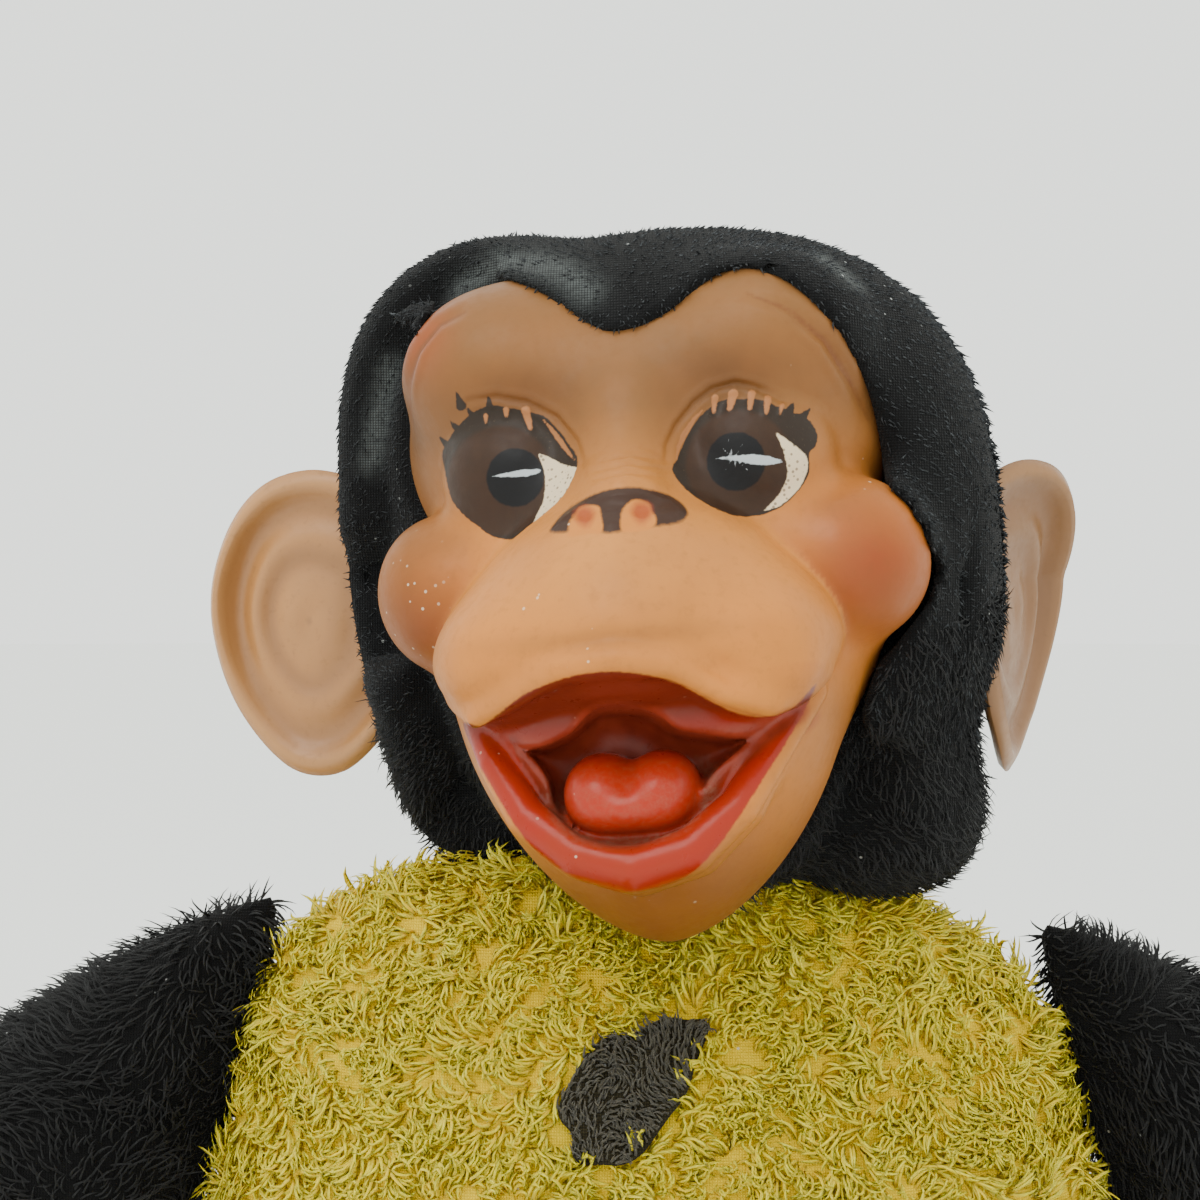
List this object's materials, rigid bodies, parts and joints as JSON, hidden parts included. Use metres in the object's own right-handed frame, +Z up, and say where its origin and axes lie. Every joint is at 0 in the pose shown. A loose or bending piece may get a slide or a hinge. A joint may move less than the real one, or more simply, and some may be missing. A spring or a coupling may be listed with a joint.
{
  "type": "plush monkey doll",
  "caption": "Seated plush monkey doll with a moulded open-mouthed vinyl face and ears, curly yellow body, and black pile arms and legs that swing.",
  "frame": {"origin": "centre of the flat seat under the torso", "axes": "+Z up, the doll faces -Y, its own left is +X"},
  "size_m": [0.558, 0.3234, 0.3406],
  "materials": {
    "yellow_plush": "curly pile",
    "black_plush": "napped pile",
    "patch_plush": "short pile",
    "skin_vinyl": "satin",
    "shoe_vinyl": "satin",
    "stuffing": "loose fibre",
    "tie_cord": "twisted thread"
  },
  "bodies": {
    "torso": {"torso_front_panel": "yellow_plush", "torso_back_panel": "yellow_plush", "seat_panel": "yellow_plush", "torso_stuffing": "stuffing", "neck_drawstring": "tie_cord", "chest_patch": "patch_plush"},
    "neck": {"neck_stem": "black_plush"},
    "head": {"face_mask": "skin_vinyl", "hood_right_panel": "black_plush", "hood_left_panel": "black_plush", "hood_crown_strip": "black_plush", "hood_neck_panel": "black_plush", "head_stuffing": "stuffing", "right_ear": "skin_vinyl", "left_ear": "skin_vinyl"},
    "left_arm": {"left_sleeve_front": "black_plush", "left_sleeve_back": "black_plush", "left_arm_stuffing": "stuffing", "left_wrist_cord": "tie_cord"},
    "left_hand": {"left_hand": "skin_vinyl"},
    "right_arm": {"right_sleeve_front": "black_plush", "right_sleeve_back": "black_plush", "right_arm_stuffing": "stuffing", "right_wrist_cord": "tie_cord"},
    "right_hand": {"right_hand": "skin_vinyl"},
    "left_leg": {"left_leg_inner_panel": "black_plush", "left_leg_outer_panel": "black_plush", "left_leg_stuffing": "stuffing", "left_ankle_cord": "tie_cord"},
    "left_foot": {"left_shoe": "shoe_vinyl"},
    "right_leg": {"right_leg_inner_panel": "black_plush", "right_leg_outer_panel": "black_plush", "right_leg_stuffing": "stuffing", "right_ankle_cord": "tie_cord"},
    "right_foot": {"right_shoe": "shoe_vinyl"}
  },
  "joints": [
    {"name": "neck_turn", "type": "hinge", "parent": "torso", "child": "neck", "pos_m": [0, 0.002, 0.188], "axis": [0, 0, 1], "range_deg": [-40, 40]},
    {"name": "head_nod", "type": "hinge", "parent": "neck", "child": "head", "pos_m": [0, 0.002, 0.188], "axis": [0.9848, -0.1736, 0], "range_deg": [-8, 8]},
    {"name": "left_shoulder_swing", "type": "hinge", "parent": "torso", "child": "left_arm", "pos_m": [0.11216, 0, 0.13], "axis": [0.2644, 0, -0.9644], "range_deg": [-35, 60]},
    {"name": "left_wrist_turn", "type": "hinge", "parent": "left_arm", "child": "left_hand", "pos_m": [0.22301, 0, 0.066], "axis": [0.866, 0, -0.5], "range_deg": [-35, 35]},
    {"name": "right_shoulder_swing", "type": "hinge", "parent": "torso", "child": "right_arm", "pos_m": [-0.11216, 0, 0.13], "axis": [0.2644, 0, 0.9644], "range_deg": [-35, 60]},
    {"name": "right_wrist_turn", "type": "hinge", "parent": "right_arm", "child": "right_hand", "pos_m": [-0.22301, 0, 0.066], "axis": [-0.866, 0, -0.5], "range_deg": [-35, 35]},
    {"name": "left_hip_swing", "type": "hinge", "parent": "torso", "child": "left_leg", "pos_m": [0.056, -0.062, 0.012], "axis": [0.9659, 0.2588, 0], "range_deg": [-15, 90]},
    {"name": "left_ankle_turn", "type": "hinge", "parent": "left_leg", "child": "left_foot", "pos_m": [0.09482, -0.20689, 0.031], "axis": [0.2588, -0.9659, 0], "range_deg": [-30, 30]},
    {"name": "right_hip_swing", "type": "hinge", "parent": "torso", "child": "right_leg", "pos_m": [-0.056, -0.062, 0.012], "axis": [0.9659, -0.2588, 0], "range_deg": [-15, 90]},
    {"name": "right_ankle_turn", "type": "hinge", "parent": "right_leg", "child": "right_foot", "pos_m": [-0.09482, -0.20689, 0.031], "axis": [-0.2588, -0.9659, 0], "range_deg": [-30, 30]}
  ]
}
